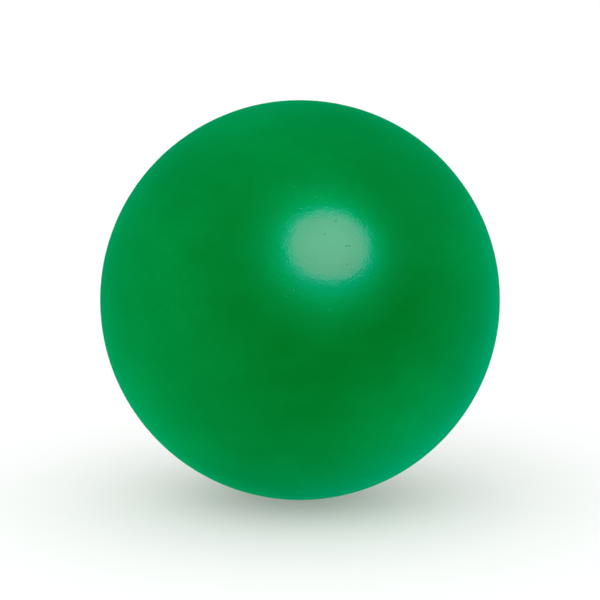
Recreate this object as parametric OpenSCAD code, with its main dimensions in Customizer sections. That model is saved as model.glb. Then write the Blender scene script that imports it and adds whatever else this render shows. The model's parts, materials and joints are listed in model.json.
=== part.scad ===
// Juggling ball: a seamless shell of soft moulded vinyl, three quarters full of loose millet.
// The millet goes in through a hole at the back, and a push-in plug closes the hole flush.
// The origin is the centre of the ball, +Z is up and +Y is the back.

/* [Ball] */
// Outer diameter of the ball
ball_d = 70; // [62:1:100]
// Thickness of the moulded shell
wall = 4; // [3.5:0.5:6]

/* [Filler hole] */
// Angle of the hole's axis above the horizon
hole_elevation = 30; // [30:1:60]
// Diameter of the hole that the millet is poured through
hole_d = 10; // [6:0.5:10]
// Width of the ledge that the plug's head sits on
ledge_w = 2; // [1:0.25:2]
// Depth of the ledge below the ball's surface, at the recess's edge
recess_depth = 1; // [0.6:0.1:1.2]

/* [Filler plug] */
// Gap all round the plug's head
head_gap = 0.1; // [0.05:0.05:0.2]
// Gap all round the plug's shank
shank_gap = 0.25; // [0.15:0.05:0.4]
// Gap that the shank's sealing ribs leave
rib_gap = 0.02; // [0.01:0.01:0.05]
// Thickness of the shank's wall round its hollow
shank_wall = 1.8; // [1.2:0.1:2]
// Width of the dimple that the mould's gate leaves on the head
gate_d = 1.6; // [1:0.2:2]
// Depth of that dimple
gate_depth = 0.25; // [0.1:0.05:0.4]

/* [Millet] */
// Share of the hollow that the millet fills
fill_share = 0.75; // [0.5:0.05:0.8]
// Gap between the millet and the shell
fill_gap = 0.3; // [0.2:0.05:0.5]

/* [Hidden] */
$fn = 128;

ball_r = ball_d / 2;
cavity_r = ball_r - wall;

// Radii of the hole and of the recess for the plug's head
hole_r = hole_d / 2;
recess_r = hole_r + ledge_w;
// Distance of the flat ledge from the ball's centre, along the hole's axis
ledge_z = sqrt(pow(ball_r, 2) - pow(recess_r, 2)) - recess_depth;

head_r = recess_r - head_gap;
shank_r = hole_r - shank_gap;
// The shank stops level with the inside of the shell, clear of the millet
shank_l = ledge_z - cavity_r;
hollow_r = shank_r - shank_wall;

// Each sealing rib is a half-round ring that nearly touches the hole
rib_r = shank_gap - rib_gap;
// Places of the two ribs, as shares of the shank's length
RIB_PLACES = [0.3, 0.7];

// Radius of the ball that would cut the gate's dimple, and its centre on the hole's axis
gate_r = (pow(gate_d / 2, 2) + pow(gate_depth, 2)) / (2 * gate_depth);
gate_z = ball_r - gate_depth + gate_r;

// The millet is a sphere cut off level, at the height that leaves fill_share of its volume
fill_r = cavity_r - fill_gap;
fill_level = 2 * fill_r * sin(asin(2 * fill_share - 1) / 3);

BALL_GREEN = [0, 0.53, 0.24];
MILLET_GOLD = [0.85, 0.69, 0.36];

// Turns what is drawn along +Z to lie along the hole's axis, pointing out of the ball
module on_hole_axis() {
    rotate([hole_elevation - 90, 0, 0])
        children();
}

// One-piece hollow ball, with the filler hole and the recess for the plug's head
module shell() {
    color(BALL_GREEN)
        difference() {
            sphere(r = ball_r);
            sphere(r = cavity_r);
            on_hole_axis() {
                cylinder(r = hole_r, h = ball_r);
                translate([0, 0, ledge_z])
                    cylinder(r = recess_r, h = ball_r);
            }
        }
}

// Plug with a head that carries on the ball's surface, and a hollow, ribbed shank
module filler_plug() {
    color(BALL_GREEN)
        on_hole_axis()
            difference() {
                union() {
                    intersection() {
                        sphere(r = ball_r);
                        translate([0, 0, ledge_z])
                            cylinder(r = head_r, h = ball_r);
                    }
                    translate([0, 0, cavity_r])
                        cylinder(r = shank_r, h = shank_l + recess_depth / 2);
                    for (place = RIB_PLACES)
                        translate([0, 0, cavity_r + place * shank_l])
                            rotate_extrude()
                                translate([shank_r, 0])
                                    circle(r = rib_r);
                }
                // The hollow opens inwards, and lets the shank squeeze into the hole
                translate([0, 0, ledge_z - ball_r])
                    cylinder(r = hollow_r, h = ball_r);
                // Gate dimple in the middle of the head
                translate([0, 0, gate_z])
                    sphere(r = gate_r);
            }
}

// The loose millet as it lies at rest, with a level top
module millet_fill() {
    color(MILLET_GOLD)
        intersection() {
            sphere(r = fill_r);
            translate([-fill_r, -fill_r, -fill_r])
                cube([2 * fill_r, 2 * fill_r, fill_r + fill_level]);
        }
}

shell();
filler_plug();
millet_fill();
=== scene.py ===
"""Juggling ball: a seamless satin vinyl ball part filled with millet, closed at the back by a flush plug.

Everything is in metres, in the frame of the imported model: the origin is the ball's centre, +Z is up
and +Y is the back.
"""

import json
import math

import bmesh
import bpy
import numpy as np
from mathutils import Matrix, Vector, noise


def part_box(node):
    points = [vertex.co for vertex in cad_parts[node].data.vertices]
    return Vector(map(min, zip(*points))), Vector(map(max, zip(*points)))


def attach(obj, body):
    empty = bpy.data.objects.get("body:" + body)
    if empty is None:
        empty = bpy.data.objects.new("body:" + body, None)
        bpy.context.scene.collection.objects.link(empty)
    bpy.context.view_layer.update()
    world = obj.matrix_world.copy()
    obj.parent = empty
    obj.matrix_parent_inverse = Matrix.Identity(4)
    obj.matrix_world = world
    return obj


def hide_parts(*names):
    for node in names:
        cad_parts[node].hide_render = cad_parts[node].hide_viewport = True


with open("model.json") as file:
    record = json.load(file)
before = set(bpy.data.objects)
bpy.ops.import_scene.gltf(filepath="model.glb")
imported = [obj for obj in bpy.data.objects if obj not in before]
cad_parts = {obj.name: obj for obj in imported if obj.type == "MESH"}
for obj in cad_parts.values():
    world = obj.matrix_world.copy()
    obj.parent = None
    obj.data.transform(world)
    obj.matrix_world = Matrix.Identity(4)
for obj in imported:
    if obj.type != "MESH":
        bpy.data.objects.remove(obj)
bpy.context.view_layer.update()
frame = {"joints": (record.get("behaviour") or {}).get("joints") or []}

MM = 0.001

# Sizes of the ball, as the CAD model has them
BALL_R = (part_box("shell")[1][2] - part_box("shell")[0][2]) / 2
WALL = 4 * MM
CAVITY_R = BALL_R - WALL
HOLE_R = 5 * MM
LEDGE_W = 2 * MM
RECESS_R = HOLE_R + LEDGE_W
RECESS_DEPTH = 1 * MM
HEAD_GAP = 0.1 * MM
SHANK_GAP = 0.25 * MM
RIB_GAP = 0.02 * MM
RIB_PLACES = (0.7, 0.3)
SHANK_WALL = 1.8 * MM
GATE_R = 0.8 * MM
GATE_DEPTH = 0.25 * MM
FILL_GAP = 0.3 * MM

# The filler hole's axis is the way that the plug pulls out
PLUG_JOINT = next(joint for joint in frame["joints"] if joint["name"] == "plug_pull")
HOLE_AXIS = Vector(PLUG_JOINT["axis"]).normalized()
RIM_Z = math.sqrt(BALL_R**2 - RECESS_R**2)
LEDGE_Z = RIM_Z - RECESS_DEPTH

FILL_R = CAVITY_R - FILL_GAP
FILL_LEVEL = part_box("millet_fill")[1][2]

# Slight unevenness of the moulded surface: two layers, each with its height and its wavelength
WAVES = ((0.035 * MM, 17 * MM), (0.010 * MM, 6 * MM))
# Points closer to the ball's surface than this follow its unevenness
SKIN_DEPTH = 0.3 * MM

# Roundings: the outer rims of the recess and of the plug's head, and where those two meet the ledge
RIM_ROUNDING = 0.22 * MM
CORNER_ROUNDING = 0.12 * MM
# The ledge's inner edge and the shank's end, the hole's mouth inside, under the head, the hollow's end
EDGE_ROUNDING = 0.2 * MM
MOUTH_ROUNDING = 0.35 * MM
NECK_ROUNDING = 0.1 * MM
HOLLOW_ROUNDING = 0.3 * MM

# Points in each ring round the hole's axis, for the shell and for the plug
AROUND = 256
PLUG_AROUND = 160
# Half-angle of the part of the shell, far from the hole, that a square grid closes
CAP_ANGLE = math.radians(45)


# ---------------------------------------------------------------- mesh tools

def waviness(point):
    """How far the ball's skin stands in or out at a point, in metres."""
    return sum(height * noise.noise(point / length) for height, length in WAVES)


def with_waviness(points):
    """The same points, with those on the ball's surface moved in or out by its unevenness."""
    on_skin = BALL_R - SKIN_DEPTH
    return [p * (1 + waviness(p) / BALL_R) if p.length > on_skin else p for p in points]


def along_hole(radius, turn, z):
    """A point at a radius and a turn about the filler hole's axis, z along it."""
    side = Vector((1, 0, 0))
    up = HOLE_AXIS.cross(side)
    return HOLE_AXIS * z + (side * math.cos(turn) + up * math.sin(turn)) * radius


def fillet(corners, steps=5):
    """A line through (radius, z, rounding) corners, with an arc of that rounding at each corner."""
    line = []
    for i, (x, z, rounding) in enumerate(corners):
        here = Vector((x, z))
        if not rounding:
            line.append(here)
            continue
        back = (Vector(corners[i - 1][:2]) - here).normalized()
        on = (Vector(corners[i + 1][:2]) - here).normalized()
        half = back.angle(on) / 2
        reach = rounding / math.tan(half)
        centre = here + (back + on).normalized() * (rounding / math.sin(half))
        first = here + back * reach - centre
        last = here + on * reach - centre
        for step in range(steps + 1):
            share = step / steps
            line.append(centre + (first * (1 - share) + last * share).normalized() * rounding)
    return line


def arc(radius, start, end, count):
    """Points of a circle about the ball's centre, as (distance from an axis, place along it)."""
    angles = np.linspace(start, end, count)
    return [Vector((radius * math.sin(a), radius * math.cos(a))) for a in angles]


def circle_points(radius, z, count):
    """Points of a level circle about the Z axis."""
    turns = [2 * math.pi * j / count for j in range(count)]
    return [Vector((radius * math.cos(turn), radius * math.sin(turn), z)) for turn in turns]


def ring_faces(first, second, count):
    """Quads between two rings of points that start at these numbers."""
    return [
        (first + j, first + (j + 1) % count, second + (j + 1) % count, second + j)
        for j in range(count)
    ]


def turned_faces(rings, count):
    """Faces of a closed turned shape: rings of count points, between a first and a last point on its axis."""
    faces = [(0, 1 + j, 1 + (j + 1) % count) for j in range(count)]
    for ring in range(rings - 1):
        start = 1 + ring * count
        faces += [face[::-1] for face in ring_faces(start, start + count, count)]
    start, end = 1 + (rings - 1) * count, 1 + rings * count
    faces += [(end, start + (j + 1) % count, start + j) for j in range(count)]
    return faces


def make_piece(name, points, faces, material, node, body):
    """A mesh object that stands for a CAD node and rides on its body."""
    mesh = bpy.data.meshes.new(name)
    mesh.from_pydata([tuple(p) for p in points], [], faces)
    mesh.validate()
    mesh.polygons.foreach_set("use_smooth", [True] * len(mesh.polygons))
    mesh.materials.append(material)
    piece = bpy.data.objects.new(name, mesh)
    bpy.context.scene.collection.objects.link(piece)
    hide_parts(node)
    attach(piece, body)
    return piece


# ---------------------------------------------------------------- the vinyl shell

def far_cap(radius, ring_start, points, outward):
    """Faces of a square grid, with no pinched pole, that closes a ring far from the hole.

    The grid's own points are added to points.
    """
    cells = AROUND // 4
    numbers = {}
    for i in range(cells + 1):
        for k in range(cells + 1):
            u, v = 2 * i / cells - 1, 2 * k / cells - 1
            reach = max(abs(u), abs(v))
            if reach == 0:
                turn = 0.0
            elif abs(u) >= abs(v):
                turn = math.pi / 4 * v / u + (math.pi if u < 0 else 0)
            else:
                turn = math.pi / 2 - math.pi / 4 * u / v + (math.pi if v < 0 else 0)
            if reach == 1:
                numbers[i, k] = ring_start + round(turn / (2 * math.pi) * AROUND) % AROUND
                continue
            angle = math.pi - reach * CAP_ANGLE
            numbers[i, k] = len(points)
            points.append(along_hole(radius * math.sin(angle), turn, radius * math.cos(angle)))
    faces = []
    for i in range(cells):
        for k in range(cells):
            quad = (numbers[i, k], numbers[i + 1, k], numbers[i + 1, k + 1], numbers[i, k + 1])
            faces.append(quad[::-1] if outward else quad)
    return faces


def make_shell(material):
    """The seamless ball, with the stepped filler hole and its hollow inside."""
    rim_angle = math.asin(RECESS_R / BALL_R)
    outer = arc(BALL_R, math.pi - CAP_ANGLE, rim_angle * 1.12, 90)
    mouth_z = math.sqrt(CAVITY_R**2 - HOLE_R**2)
    lip_angle = math.asin((HOLE_R + 0.8 * MM) / CAVITY_R)
    inner = arc(CAVITY_R, lip_angle, math.pi - CAP_ANGLE, 48)
    steps = fillet(
        [
            (*outer[-1], 0),
            (RECESS_R, RIM_Z, RIM_ROUNDING),
            (RECESS_R, LEDGE_Z, CORNER_ROUNDING),
            (HOLE_R, LEDGE_Z, EDGE_ROUNDING),
            (HOLE_R, mouth_z, MOUTH_ROUNDING),
            (*inner[0], 0),
        ]
    )
    profile = outer[:-1] + steps + inner[1:]

    points, faces = [], []
    for x, z in profile:
        points += [along_hole(x, 2 * math.pi * j / AROUND, z) for j in range(AROUND)]
    last = (len(profile) - 1) * AROUND
    for start in range(0, last, AROUND):
        faces += ring_faces(start, start + AROUND, AROUND)
    faces += far_cap(BALL_R, 0, points, outward=True)
    faces += far_cap(CAVITY_R, last, points, outward=False)
    make_piece("vinyl_shell", with_waviness(points), faces, material, "shell", "ball")


# ---------------------------------------------------------------- the filler plug

def rib(z, rounding, out, steps=8):
    """A half-round sealing ring on the shank, from its upper edge to its lower edge."""
    angles = np.linspace(math.pi / 2, -math.pi / 2, steps + 1)
    return [(out + rounding * math.cos(a), z + rounding * math.sin(a), 0) for a in angles]


def make_plug(material):
    """The push-in plug, turned as one line from the middle of its head round to its hollow."""
    head_r = RECESS_R - HEAD_GAP
    shank_r = HOLE_R - SHANK_GAP
    rib_r = SHANK_GAP - RIB_GAP
    hollow_r = shank_r - SHANK_WALL
    shank_l = LEDGE_Z - CAVITY_R
    rim_z = math.sqrt(BALL_R**2 - head_r**2)

    gate = [(GATE_R * s, BALL_R - GATE_DEPTH * (1 - s * s), 0) for s in (0.2, 0.4, 0.6, 0.8, 0.95)]
    gate_angle = math.asin(1.15 * GATE_R / BALL_R)
    rim_angle = math.asin(0.95 * head_r / BALL_R)
    head = [(x, z, 0) for x, z in arc(BALL_R, gate_angle, rim_angle, 16)]
    ribs = []
    for place in RIB_PLACES:
        ribs += rib(CAVITY_R + place * shank_l, rib_r, shank_r)
    profile = fillet(
        [(0.0, BALL_R - GATE_DEPTH, 0)]
        + gate
        + head
        + [
            (head_r, rim_z, RIM_ROUNDING),
            (head_r, LEDGE_Z, CORNER_ROUNDING),
            (shank_r, LEDGE_Z, NECK_ROUNDING),
        ]
        + ribs
        + [
            (shank_r, CAVITY_R, EDGE_ROUNDING),
            (hollow_r, CAVITY_R, EDGE_ROUNDING),
            (hollow_r, LEDGE_Z, HOLLOW_ROUNDING),
            (0.0, LEDGE_Z, 0),
        ]
    )

    count = PLUG_AROUND
    points = [along_hole(0, 0, profile[0][1])]
    for x, z in profile[1:-1]:
        points += [along_hole(x, 2 * math.pi * j / count, z) for j in range(count)]
    points.append(along_hole(0, 0, profile[-1][1]))
    faces = turned_faces(len(profile) - 2, count)
    make_piece("plug", with_waviness(points), faces, material, "filler_plug", "plug")


# ---------------------------------------------------------------- the millet

# Half-lengths of a grain along its three axes, and the distance between neighbours
GRAIN_AXES = np.array([1.02, 0.94, 0.80]) * MM
GRAIN_PITCH = 2.06 * MM
# How far the grains stay inside the CAD millet's sides and below its top
SIDE_PLAY = 0.12 * MM
TOP_PLAY = 0.25 * MM
# How far the second layer of grains lies below the top one
LAYER_DROP = 1.45 * MM
# How far the core under the grains stays inside the CAD millet's sides and below its top
CORE_INSET = 1.3 * MM
CORE_DROP = 1.9 * MM
# Depth and size of the core's lumps
LUMP_DEPTH = 0.25 * MM
LUMP_SIZE = 1.4 * MM
CORE_AROUND = 96
# How far grains tilt at random, on top and against the shell
TOP_TILT = 0.22
SIDE_TILT = 0.10
MILLET_SEED = 7


def grain_shape():
    """One grain, an ovoid that narrows a little towards one end: points, faces and where its tip is."""
    shape = bmesh.new()
    bmesh.ops.create_icosphere(shape, subdivisions=2, radius=1)
    points = np.array([v.co[:] for v in shape.verts])
    faces = np.array([[v.index for v in f.verts] for f in shape.faces])
    shape.free()
    narrowing = 1 - 0.16 * np.maximum(points[:, 0], 0) ** 2
    tip = np.clip((points[:, 0] - 0.75) / 0.25, 0, 1)
    points[:, 1:] *= narrowing[:, None]
    return points * GRAIN_AXES, faces, tip


def turned_to(normals, spins):
    """Rotation matrices whose third axis is each normal, spun about it."""
    helper = np.where(np.abs(normals[:, 2:3]) > 0.9, [[1.0, 0, 0]], [[0, 0, 1.0]])
    first = np.cross(helper, normals)
    first /= np.linalg.norm(first, axis=1, keepdims=True)
    second = np.cross(normals, first)
    along = first * np.cos(spins)[:, None] + second * np.sin(spins)[:, None]
    across = np.cross(normals, along)
    return np.stack([along, across, normals], axis=2)


def top_places(rng, radius, level, shift):
    """Centres of a layer of grains on a six-sided grid, inside a circle."""
    row_h = GRAIN_PITCH * math.sqrt(3) / 2
    rows = int(radius / row_h) + 2
    places = []
    for row in range(-rows, rows + 1):
        for column in range(-rows * 2, rows * 2 + 1):
            x = (column + 0.5 * (row % 2)) * GRAIN_PITCH + shift
            y = row * row_h + shift * 0.6
            if math.hypot(x, y) < radius:
                places.append((x, y, level))
    places = np.array(places)
    places += rng.normal(0, 1, places.shape) * np.array([0.07, 0.07, 0.16]) * MM
    return places


def side_places(rng, radius, top):
    """Centres of grains against the shell, spread evenly over a sphere below the top."""
    count = int(4 * math.pi * radius**2 / (GRAIN_PITCH**2 * 0.9))
    number = np.arange(count) + 0.5
    z = 1 - 2 * number / count
    turn = math.pi * (1 + math.sqrt(5)) * number
    flat = np.sqrt(1 - z * z)
    places = np.stack([flat * np.cos(turn), flat * np.sin(turn), z], axis=1)
    places += rng.normal(0, 0.002, places.shape)
    places /= np.linalg.norm(places, axis=1, keepdims=True)
    return places[places[:, 2] * radius < top] * radius


def make_grains(name, places, normals, tilt, rng, material):
    """Separate grains at these places, each lying on its flat side against its normal."""
    normals = normals + rng.normal(0, tilt, normals.shape)
    normals /= np.linalg.norm(normals, axis=1, keepdims=True)
    turns = turned_to(normals, rng.uniform(0, 2 * math.pi, len(places)))
    sizes = rng.uniform(0.92, 1.0, len(places))
    shape, shape_faces, tip = grain_shape()
    points = np.einsum("nij,kj->nki", turns, shape) * sizes[:, None, None] + places[:, None, :]
    offsets = np.arange(len(places)) * len(shape)
    faces = (shape_faces[None, :, :] + offsets[:, None, None]).reshape(-1, 3)
    piece = make_piece(
        name, points.reshape(-1, 3), faces.tolist(), material, "millet_fill", "millet"
    )
    shades = np.repeat(rng.uniform(0, 1, len(places)), len(shape))
    for label, values in (("grain_shade", shades), ("grain_tip", np.tile(tip, len(places)))):
        layer = piece.data.attributes.new(label, "FLOAT", "POINT")
        layer.data.foreach_set("value", values.astype(np.float32))


def make_millet(material):
    """The millet's top and sides as separate grains, round a solid core."""
    rng = np.random.default_rng(MILLET_SEED)
    half = GRAIN_AXES[2]
    wall_r = FILL_R - half - SIDE_PLAY
    top_z = FILL_LEVEL - half - TOP_PLAY
    circle = math.sqrt(wall_r**2 - top_z**2) - 0.5 * GRAIN_PITCH
    upper = top_places(rng, circle, top_z, 0.0)
    under = top_places(rng, circle, top_z - LAYER_DROP, 0.5 * GRAIN_PITCH)
    places = np.vstack([upper, under])
    reach = np.linalg.norm(places, axis=1)
    places = places[reach < wall_r - 0.4 * MM]
    upwards = np.tile([0.0, 0, 1], (len(places), 1))
    make_grains("millet_top", places, upwards, TOP_TILT, rng, material)
    sides = side_places(rng, wall_r, top_z + 0.3 * MM)
    make_grains("millet_sides", sides, sides / wall_r, SIDE_TILT, rng, material)
    make_core(material)


def make_core(material):
    """A lumpy solid under the grains, which fills the gaps between them."""
    core_r, core_z = FILL_R - CORE_INSET, FILL_LEVEL - CORE_DROP
    edge = math.acos(core_z / core_r)
    count = CORE_AROUND
    profile = [Vector((x, core_z)) for x in np.linspace(0, core_r * math.sin(edge) - 0.6 * MM, 14)[1:]]
    profile += arc(core_r, edge + 0.03, math.pi, 40)[:-1]
    points = [Vector((0, 0, core_z))]
    for x, z in profile:
        points += circle_points(x, z, count)
    points.append(Vector((0, 0, -core_r)))
    points = [p - p.normalized() * (LUMP_DEPTH * (1 + noise.noise(p / LUMP_SIZE))) for p in points]
    faces = turned_faces(len(profile), count)
    make_piece("millet_core", points, faces, material, "millet_fill", "millet")


# ---------------------------------------------------------------- materials

class Shader:
    """Short calls for building a material's nodes."""

    def __init__(self, name):
        self.material = bpy.data.materials.new(name)
        self.material.use_nodes = True
        self.tree = self.material.node_tree
        self.surface = self.tree.nodes["Principled BSDF"]
        self.place = self.node("TexCoord").outputs["Object"]

    def node(self, kind, **settings):
        made = self.tree.nodes.new("ShaderNode" + kind)
        for key, value in settings.items():
            setattr(made, key, value)
        return made

    def feed(self, socket, value):
        if hasattr(value, "links"):
            self.tree.links.new(value, socket)
        else:
            socket.default_value = value

    def noise(self, size, detail=2.0, roughness=0.5, stretch=(1, 1, 1), shift=(0, 0, 0)):
        """Noise from 0 to 1 whose features are about size across, in metres."""
        place = self.place
        if stretch != (1, 1, 1) or shift != (0, 0, 0):
            mapping = self.node("Mapping")
            mapping.inputs["Scale"].default_value = stretch
            mapping.inputs["Location"].default_value = shift
            self.feed(mapping.inputs["Vector"], place)
            place = mapping.outputs["Vector"]
        made = self.node("TexNoise")
        self.feed(made.inputs["Vector"], place)
        self.feed(made.inputs["Scale"], 1 / size)
        self.feed(made.inputs["Detail"], detail)
        self.feed(made.inputs["Roughness"], roughness)
        return made.outputs["Fac"]

    def remap(self, value, low, high, new_low=0.0, new_high=1.0):
        made = self.node("MapRange", clamp=True)
        for number, given in enumerate((value, low, high, new_low, new_high)):
            self.feed(made.inputs[number], given)
        return made.outputs[0]

    def maths(self, operation, first, second):
        made = self.node("Math", operation=operation)
        self.feed(made.inputs[0], first)
        self.feed(made.inputs[1], second)
        return made.outputs[0]

    def blend(self, share, first, second):
        made = self.node("Mix", data_type="RGBA")
        self.feed(made.inputs["Factor"], share)
        self.feed(made.inputs["A"], first)
        self.feed(made.inputs["B"], second)
        return made.outputs["Result"]

    def bump(self, height, depth, below=None):
        """A bump whose height of 1 stands depth metres proud."""
        made = self.node("Bump")
        self.feed(made.inputs["Strength"], 1.0)
        self.feed(made.inputs["Distance"], depth)
        self.feed(made.inputs["Height"], height)
        if below is not None:
            self.feed(made.inputs["Normal"], below)
        return made.outputs["Normal"]

    def set(self, **values):
        for key, value in values.items():
            self.feed(self.surface.inputs[key.replace("_", " ")], value)


# Darkest and lightest green of each piece, and the deep green of its specks; the spread between the darkest
# and the
# # lightest carries both the vinyl's own uneven tone and painted light and shade
SHELL_GREENS = ((0.0, 0.160, 0.010, 1), (0.0, 0.250, 0.039, 1))
PLUG_GREENS = ((0.0, 0.140, 0.014, 1), (0.0, 0.190, 0.034, 1))
SPECK_GREEN = (0.0, 0.165, 0.014, 1)
# Places in the noise that the light and the dark patches of the mottle are taken from. The patches are partly
# the
# # vinyl's own random tone and partly painted light and shade, placed so that the ball comes out lighter on
# the left
# # and at the top and darker in the middle, on the right and round the highlight
LIGHT_TONE_AND_PAINTED_LIGHT_FROM = (0.295, 0.172, 0.287)
DARK_TONE_AND_PAINTED_SHADE_FROM = (0.003, 0.267, -0.171)


def vinyl(name, dark, light):
    """Satin vinyl: a cloudy green, partly random tone and partly painted light and shade, with a soft sheen,
    under a thin clear skin with a fine grain.
    """
    s = Shader(name)
    light_tone_and_painted_light = s.noise(34 * MM, detail=2.0, roughness=0.45, shift=LIGHT_TONE_AND_PAINTED_LIGHT_FROM)
    dark_tone_and_painted_shade = s.noise(28 * MM, detail=2.0, roughness=0.45, shift=DARK_TONE_AND_PAINTED_SHADE_FROM)
    streaks = s.noise(9 * MM, detail=2.0, stretch=(1.0, 1.0, 1.9))
    # The mottle is partly random tone of the vinyl and partly painted light and shade: lighter on the left
    # and at the top, darker in the middle and on the right
    mottle_and_painted_shade = s.remap(s.maths("SUBTRACT", light_tone_and_painted_light, dark_tone_and_painted_shade), -0.35, 0.35)
    mottle_and_painted_shade = s.remap(s.maths("ADD", mottle_and_painted_shade, s.maths("MULTIPLY", streaks, 0.5)), 0.25, 1.25)
    green = s.blend(mottle_and_painted_shade, dark, light)
    speck = s.remap(s.noise(1.1 * MM, detail=3.0), 0.35, 0.65)
    green = s.blend(s.maths("MULTIPLY", speck, 0.2), green, SPECK_GREEN)

    peel = s.noise(0.9 * MM, detail=1.5)
    grain = s.noise(0.30 * MM, detail=2.0, roughness=0.6)
    creases = s.noise(0.22 * MM, detail=1.0, stretch=(1.0, 0.35, 2.2))
    creased = s.remap(s.noise(5 * MM, detail=1.0), 0.42, 0.62)
    pit_place = s.node("TexVoronoi", feature="F1")
    s.feed(pit_place.inputs["Vector"], s.place)
    s.feed(pit_place.inputs["Scale"], 1 / (1.9 * MM))
    pits = s.remap(pit_place.outputs["Distance"], 0.02, 0.08, 0.0, 1.0)

    normal = s.bump(peel, 0.014 * MM)
    normal = s.bump(grain, 0.013 * MM, normal)
    normal = s.bump(s.maths("MULTIPLY", creases, creased), 0.010 * MM, normal)
    normal = s.bump(pits, 0.03 * MM, normal)
    s.set(
        Base_Color=green,
        Roughness=s.remap(mottle_and_painted_shade, 0.0, 1.0, 0.40, 0.46),
        Normal=normal,
        Specular_IOR_Level=0.0,
        Coat_Weight=1.0,
        Coat_Roughness=0.06,
        Coat_IOR=1.5,
        Coat_Normal=normal,
        Sheen_Weight=0.4,
        Sheen_Roughness=0.5,
        Sheen_Tint=(0.0, 0.945, 0.384, 1),
    )
    return s.material


def millet():
    """Hulled millet: pale gold grains, each a little different, with a darker tip and a dull shine."""
    s = Shader("millet_grain")
    shade = s.node("Attribute", attribute_name="grain_shade").outputs["Fac"]
    tip = s.node("Attribute", attribute_name="grain_tip").outputs["Fac"]
    gold = s.blend(shade, (0.56, 0.32, 0.075, 1), (0.80, 0.56, 0.19, 1))
    fleck = s.remap(s.noise(0.35 * MM, detail=3.0), 0.4, 0.7)
    gold = s.blend(s.maths("MULTIPLY", fleck, 0.35), gold, (0.66, 0.44, 0.16, 1))
    gold = s.blend(s.maths("MULTIPLY", tip, 0.8), gold, (0.16, 0.07, 0.02, 1))
    s.set(
        Base_Color=gold,
        Roughness=s.remap(fleck, 0, 1, 0.45, 0.6),
        Normal=s.bump(s.noise(0.25 * MM, detail=2.0), 0.012 * MM),
    )
    return s.material


def floor_paper():
    """Plain white paper for the ball to stand on, with a weak glow that keeps it near white."""
    s = Shader("floor_paper")
    s.set(
        Base_Color=(0.76, 0.76, 0.76, 1),
        Roughness=0.9,
        Specular_IOR_Level=0.1,
        Emission_Color=(1, 1, 1, 1),
        Emission_Strength=0.28,
    )
    return s.material


# ---------------------------------------------------------------- stage, lights and camera

CAMERA_ELEVATION = math.radians(10)
CAMERA_LENS = 135.0
CAMERA_SENSOR = 36.0
# Share of the frame's width that the ball's outline takes
BALL_IN_FRAME = 2 / 3
FLOOR_R = 4.0
FLOOR_AROUND = 96


def camera_axes():
    """Right, up and backward directions of the camera."""
    right = Vector((1, 0, 0))
    back = Vector((0, -math.cos(CAMERA_ELEVATION), math.sin(CAMERA_ELEVATION)))
    return right, back.cross(right), back


def seen_from_ball(right, up, back):
    """A direction given in the camera's own right, up and backward parts."""
    axes = camera_axes()
    return (axes[0] * right + axes[1] * up + axes[2] * back).normalized()


def make_camera():
    """The camera at the photograph's angle, as far off as its long lens needs."""
    data = bpy.data.cameras.new("camera")
    data.lens = CAMERA_LENS
    data.sensor_width = CAMERA_SENSOR
    data.dof.use_dof = False
    half_angle = math.atan(BALL_IN_FRAME * CAMERA_SENSOR / 2 / CAMERA_LENS)
    camera = bpy.data.objects.new("camera", data)
    back = camera_axes()[2]
    camera.location = back * (BALL_R / math.sin(half_angle))
    camera.rotation_mode = "QUATERNION"
    camera.rotation_quaternion = (-back).to_track_quat("-Z", "Y")
    data.clip_start, data.clip_end = 0.01, 20
    bpy.context.scene.collection.objects.link(camera)
    bpy.context.scene.camera = camera


def make_softbox(name, direction, distance, fade, height=1.0):
    """A round or oval softbox facing the ball, height being its height over its width.

    fade lists its (half-angle in degrees as seen from the ball, radiance of red, green and blue), from its
    middle to its edge.
    """
    edge = math.tan(math.radians(fade[-1][0]))
    peak = max(max(radiance) for _, radiance in fade)
    data = bpy.data.lights.new(name, "AREA")
    data.shape = "ELLIPSE"
    data.size = 2 * distance * edge
    data.size_y = data.size * height
    # A flat light of area A and power P has a radiance of P / (pi A)
    data.energy = peak * math.pi * (math.pi * data.size * data.size_y / 4)

    data.use_nodes = True
    nodes, links = data.node_tree.nodes, data.node_tree.links
    place = nodes.new("ShaderNodeNewGeometry")
    from_middle = nodes.new("ShaderNodeVectorMath")
    from_middle.operation = "DISTANCE"
    from_middle.inputs[1].default_value = (0.5, 0.5, 0)
    links.new(place.outputs["Parametric"], from_middle.inputs[0])
    double = nodes.new("ShaderNodeMath")
    double.operation = "MULTIPLY"
    double.inputs[1].default_value = 2
    links.new(from_middle.outputs["Value"], double.inputs[0])
    ramp = nodes.new("ShaderNodeValToRGB")
    links.new(double.outputs[0], ramp.inputs[0])
    while len(ramp.color_ramp.elements) < len(fade):
        ramp.color_ramp.elements.new(0.5)
    for stop, (degrees, radiance) in zip(ramp.color_ramp.elements, fade):
        stop.position = math.tan(math.radians(degrees)) / edge
        stop.color = [share / peak for share in radiance] + [1]
    links.new(ramp.outputs["Color"], nodes["Emission"].inputs["Color"])

    light = bpy.data.objects.new(name, data)
    light.location = direction * distance
    light.rotation_mode = "QUATERNION"
    light.rotation_quaternion = direction.to_track_quat("Z", "Y")
    bpy.context.scene.collection.objects.link(light)
    return light


# What shiny surfaces see of the surroundings, one from below and one from the right, behind and below: each
# glow's colour, the axis that its strength changes along, from and to where, and its strength at both
GLOWS = (
    ((0.0, 1.0, 0.32, 1), (0, 0, 1), -0.45, 0.25, 0.25, 0.0),
    ((0.0, 0.6, 1.0, 1), (0.59, 0.59, -0.55), 0.72, 0.95, 0.0, 0.18),
)


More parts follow.
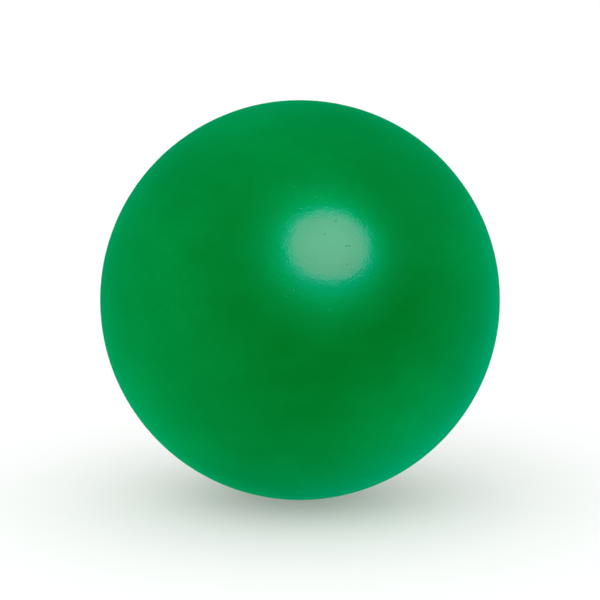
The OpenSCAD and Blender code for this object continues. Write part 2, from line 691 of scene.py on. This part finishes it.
def make_world():
    """White surroundings, of which shiny surfaces see only the faint glows."""
    world = bpy.data.worlds.new("studio")
    world.use_nodes = True
    nodes, links = world.node_tree.nodes, world.node_tree.links
    nodes.clear()
    place = nodes.new("ShaderNodeTexCoord")

    def glow(colour, axis, low, high, low_strength, high_strength):
        """A background whose strength changes along an axis, from low to high on it."""
        background = nodes.new("ShaderNodeBackground")
        background.inputs["Color"].default_value = colour
        along = nodes.new("ShaderNodeVectorMath")
        along.operation = "DOT_PRODUCT"
        along.inputs[1].default_value = axis
        links.new(place.outputs["Generated"], along.inputs[0])
        change = nodes.new("ShaderNodeMapRange")
        for number, value in enumerate((low, high, low_strength, high_strength), start=1):
            change.inputs[number].default_value = value
        links.new(along.outputs["Value"], change.inputs[0])
        links.new(change.outputs[0], background.inputs["Strength"])
        return background.outputs[0]

    white = nodes.new("ShaderNodeBackground")
    white.inputs["Color"].default_value = (1, 1, 1, 1)
    dim = nodes.new("ShaderNodeAddShader")
    for socket, settings in zip(dim.inputs, GLOWS):
        links.new(glow(*settings), socket)
    path = nodes.new("ShaderNodeLightPath")
    mix = nodes.new("ShaderNodeMixShader")
    out = nodes.new("ShaderNodeOutputWorld")
    links.new(path.outputs["Is Glossy Ray"], mix.inputs[0])
    links.new(white.outputs[0], mix.inputs[1])
    links.new(dim.outputs[0], mix.inputs[2])
    links.new(mix.outputs[0], out.inputs[0])
    bpy.context.scene.world = world


def make_floor():
    """A wide round sheet that the ball stands on."""
    mesh = bpy.data.meshes.new("floor")
    rim = circle_points(FLOOR_R, -BALL_R, FLOOR_AROUND)
    mesh.from_pydata([tuple(p) for p in rim], [], [tuple(range(FLOOR_AROUND))])
    mesh.materials.append(floor_paper())
    floor = bpy.data.objects.new("floor", mesh)
    floor.visible_glossy = False
    bpy.context.scene.collection.objects.link(floor)


# Directions from the ball, in the camera's right, up and backward parts
KEY_FROM = (0.263, 0.489, 0.832)
HALO_FROM = (0.255, 0.459, 0.851)
FILL_FROM = (-0.5, 0.55, 0.66)
# Distances from the ball's centre: the halo's light stands just behind the key light
KEY_DISTANCE = 0.6
HALO_DISTANCE = 0.61
FILL_DISTANCE = 0.7
# Heights over widths
KEY_HEIGHT = 0.91
HALO_HEIGHT = 0.95
# Each light's (half-angle in degrees, radiance of red, green and blue), from its middle to its edge
KEY_FADE = (
    (0, (3.45, 2.5, 3.8)),
    (10, (3.25, 2.3, 3.6)),
    (14, (2.95, 1.75, 2.95)),
    (19.6, (2.5, 1.6, 2.8)),
    (20.6, (0.8, 1.6, 2.7)),
    (22, (0, 1.0, 1.6)),
    (24, (0, 0, 0)),
)
HALO_FADE = (
    (0, (0, 4.05, 2.8)),
    (24, (0, 4.0, 2.7)),
    (28, (0, 2.8, 1.4)),
    (32, (0, 2.0, 1.0)),
    (36, (0, 1.2, 0.55)),
    (40, (0, 0.65, 0.4)),
    (45, (0, 0.42, 0.2)),
    (50, (0, 0.1, 0.07)),
    (55, (0, 0, 0)),
)
FILL_FADE = ((0, (0.3, 0.3, 0.3)), (30, (0.3, 0.3, 0.3)))


def make_lights():
    """The key light and the halo round it, seen only in reflections, and a soft fill that is not."""
    key = make_softbox("key", seen_from_ball(*KEY_FROM), KEY_DISTANCE, KEY_FADE, KEY_HEIGHT)
    key.visible_diffuse = False
    halo = make_softbox("halo", seen_from_ball(*HALO_FROM), HALO_DISTANCE, HALO_FADE, HALO_HEIGHT)
    halo.visible_diffuse = False
    fill = make_softbox("fill", seen_from_ball(*FILL_FROM), FILL_DISTANCE, FILL_FADE)
    fill.visible_glossy = False


make_camera()
make_shell(vinyl("shell_vinyl", *SHELL_GREENS))
make_plug(vinyl("plug_vinyl", *PLUG_GREENS))
make_millet(millet())
make_floor()
make_lights()
make_world()
bpy.context.scene.view_settings.view_transform = "Standard"
